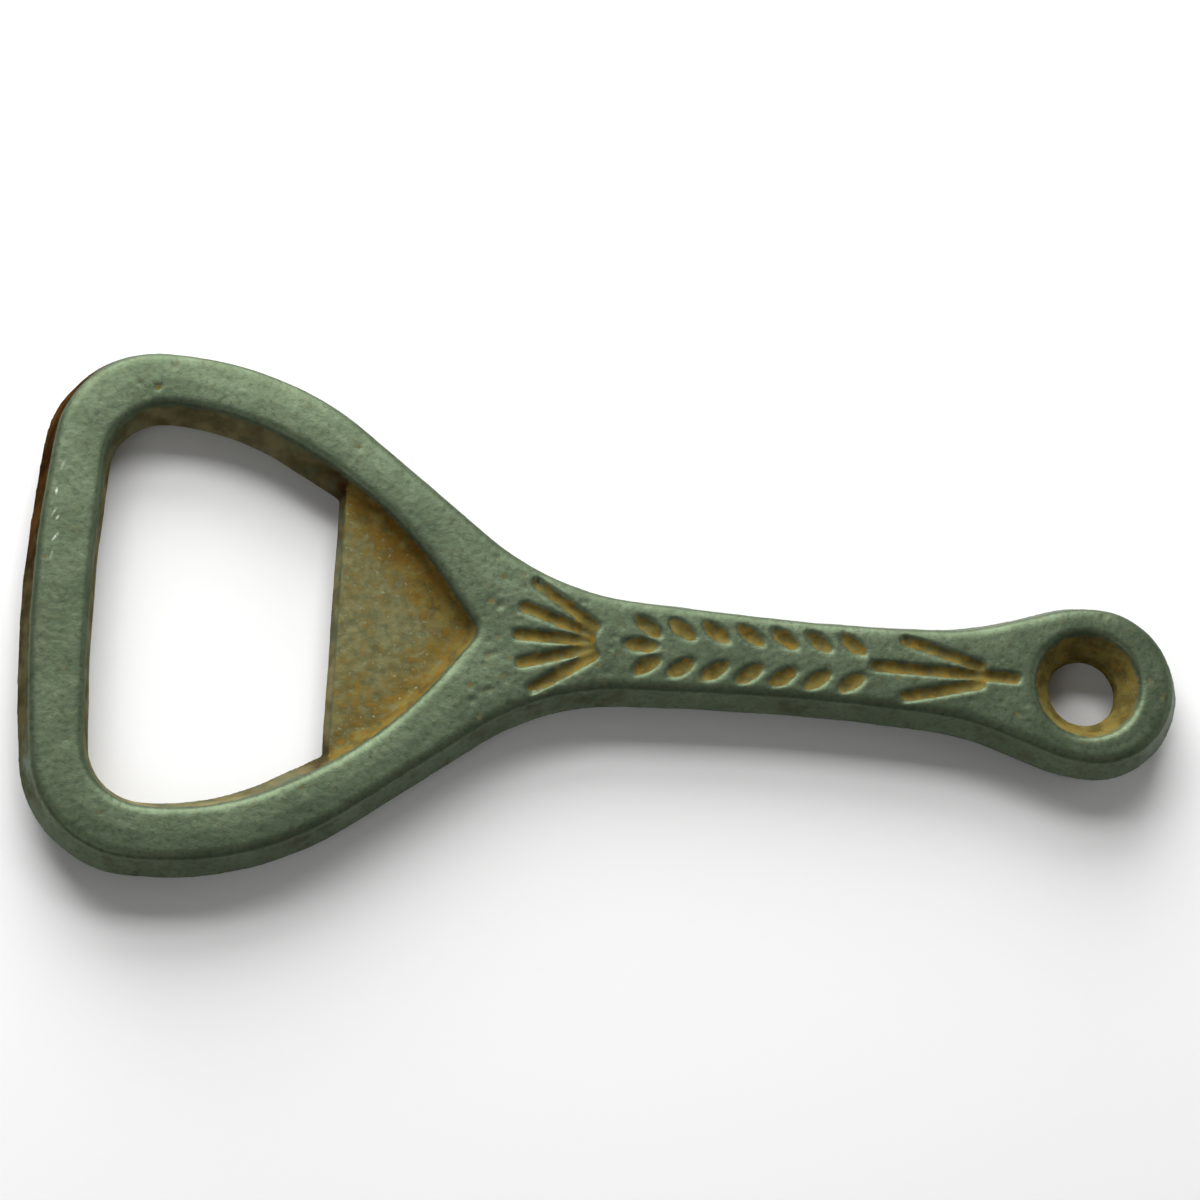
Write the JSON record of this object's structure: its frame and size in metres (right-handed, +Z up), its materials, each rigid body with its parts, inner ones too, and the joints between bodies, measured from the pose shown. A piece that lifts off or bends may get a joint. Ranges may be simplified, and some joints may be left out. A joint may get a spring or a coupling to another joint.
{
  "type": "bottle opener",
  "caption": "Cast iron souvenir bottle opener: trapezoid loop with a thin lipped web, slim grip engraved with an ear of barley, and an eye for hanging.",
  "frame": {"origin": "middle of the footprint on the back face, with the opener lying on its back", "axes": "+X along the grip from the head to the eye, +Y across the head, +Z up through the engraved face"},
  "size_m": [0.115, 0.0534, 0.007],
  "materials": {
    "cast_iron": "grey-green sand-cast iron, worn half-matt, with brown rust in the recess, the engraving and the eye"
  },
  "bodies": {
    "root": {"opener_casting": "cast_iron"}
  },
  "joints": []
}
